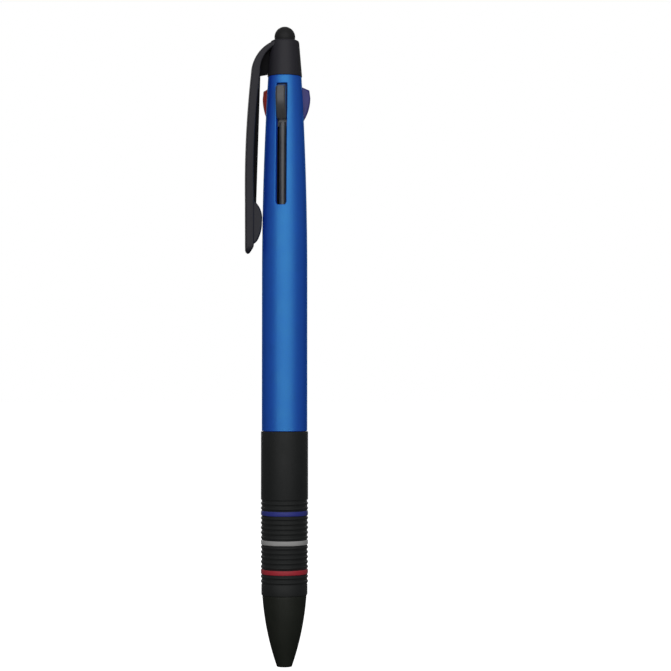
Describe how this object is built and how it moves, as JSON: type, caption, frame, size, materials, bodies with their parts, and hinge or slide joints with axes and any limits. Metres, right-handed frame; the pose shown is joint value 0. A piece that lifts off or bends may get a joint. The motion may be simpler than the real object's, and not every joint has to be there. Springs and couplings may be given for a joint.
{
  "type": "multicolour click pen",
  "caption": "Ballpoint pen with three press tabs for three ink colours, a pocket clip, a ribbed rubber grip and a soft touch tip.",
  "frame": {"origin": "on the pen's axis at the nose end, where the point comes out", "axes": "+Z along the axis from the nose to the touch tip, -Y towards the user (10 degrees from the black tab), +X to the user's right, the clip near -X"},
  "size_m": [0.0151, 0.0113, 0.145],
  "materials": {
    "blue_metallic": "satin metallic lacquer over moulded plastic",
    "black_satin": "satin black moulded plastic",
    "black_moulded": "satin black moulded plastic",
    "touch_rubber": "soft conductive silicone",
    "grip_rubber": "matt black rubber",
    "ring_blue": "satin coloured rubber",
    "ring_silver": "satin coloured rubber",
    "ring_red": "satin coloured rubber",
    "tab_black": "semi-gloss moulded plastic",
    "tab_blue": "semi-gloss moulded plastic",
    "tab_red": "semi-gloss moulded plastic",
    "tube_black": "translucent tube filled with black ink",
    "tube_blue": "translucent tube filled with blue ink",
    "tube_red": "translucent tube filled with red ink",
    "point_metal": "turned nickel silver",
    "ball_metal": "polished",
    "spring_steel": "drawn wire",
    "inner_plastic": "moulded plastic"
  },
  "bodies": {
    "barrel_assembly": {"barrel": "blue_metallic", "cap": "black_satin", "touch_tip": "touch_rubber", "latch_core": "inner_plastic", "guide_disc": "inner_plastic", "black_spring": "spring_steel", "blue_spring": "spring_steel", "red_spring": "spring_steel"},
    "pocket_clip": {"clip": "black_satin"},
    "grip_cover": {"grip_sleeve": "grip_rubber", "blue_ring": "ring_blue", "silver_ring": "ring_silver", "red_ring": "ring_red"},
    "front_section": {"front_barrel": "black_moulded"},
    "black_button": {"black_slider": "tab_black"},
    "black_refill": {"black_ink_tube": "tube_black", "black_point": "point_metal", "black_ball": "ball_metal"},
    "blue_button": {"blue_slider": "tab_blue"},
    "blue_refill": {"blue_ink_tube": "tube_blue", "blue_point": "point_metal", "blue_ball": "ball_metal"},
    "red_button": {"red_slider": "tab_red"},
    "red_refill": {"red_ink_tube": "tube_red", "red_point": "point_metal", "red_ball": "ball_metal"}
  },
  "joints": [
    {"name": "black_press", "type": "slide", "parent": "barrel_assembly", "child": "black_button", "axis": [0, 0, -1], "range_m": [0, 0.015], "stiffness_N_per_m": 80, "springref_m": -0.004, "deforming": ["black_spring", "black_ink_tube", "black_point", "black_ball"]},
    {"name": "blue_press", "type": "slide", "parent": "barrel_assembly", "child": "blue_button", "axis": [0, 0, -1], "range_m": [0, 0.015], "stiffness_N_per_m": 80, "springref_m": -0.004, "deforming": ["blue_spring", "blue_ink_tube", "blue_point", "blue_ball"]},
    {"name": "red_press", "type": "slide", "parent": "barrel_assembly", "child": "red_button", "axis": [0, 0, -1], "range_m": [0, 0.015], "stiffness_N_per_m": 80, "springref_m": -0.004, "deforming": ["red_spring", "red_ink_tube", "red_point", "red_ball"]},
    {"name": "black_refill_swing", "type": "hinge", "parent": "black_button", "child": "black_refill", "pos_m": [-0.0004, -0.00216, 0.0969], "axis": [0.9833, -0.1822, 0], "range_deg": [-0.05, 1.54]},
    {"name": "blue_refill_swing", "type": "hinge", "parent": "blue_button", "child": "blue_refill", "pos_m": [0.00207, 0.00075, 0.0969], "axis": [-0.342, 0.9397, 0], "range_deg": [-0.05, 1.54]},
    {"name": "red_refill_swing", "type": "hinge", "parent": "red_button", "child": "red_refill", "pos_m": [-0.00169, 0.00141, 0.0969], "axis": [-0.6428, -0.766, 0], "range_deg": [-0.05, 1.54]},
    {"name": "clip_flex", "type": "hinge", "parent": "barrel_assembly", "child": "pocket_clip", "pos_m": [-0.00289, -0.00025, 0.1416], "axis": [-0.0872, 0.9962, 0], "range_deg": [0, 3], "stiffness_Nm_per_rad": 0.1, "springref_deg": -1.15},
    {"name": "front_draw", "type": "slide", "parent": "barrel_assembly", "child": "grip_cover", "axis": [0, 0, -1], "range_m": [0, 0.009]},
    {"name": "front_unscrew", "type": "hinge", "parent": "grip_cover", "child": "front_section", "pos_m": [0, 0, 0.053], "axis": [0, 0, -1], "range_deg": [-1, 2161]}
  ],
  "couplings": [
    {"joint": "black_refill_swing", "follows": "black_press", "rad_per_m": 1.7318},
    {"joint": "blue_refill_swing", "follows": "blue_press", "rad_per_m": 1.7318},
    {"joint": "red_refill_swing", "follows": "red_press", "rad_per_m": 1.7318},
    {"joint": "front_unscrew", "follows": "front_draw", "rad_per_m": 4188.8}
  ]
}
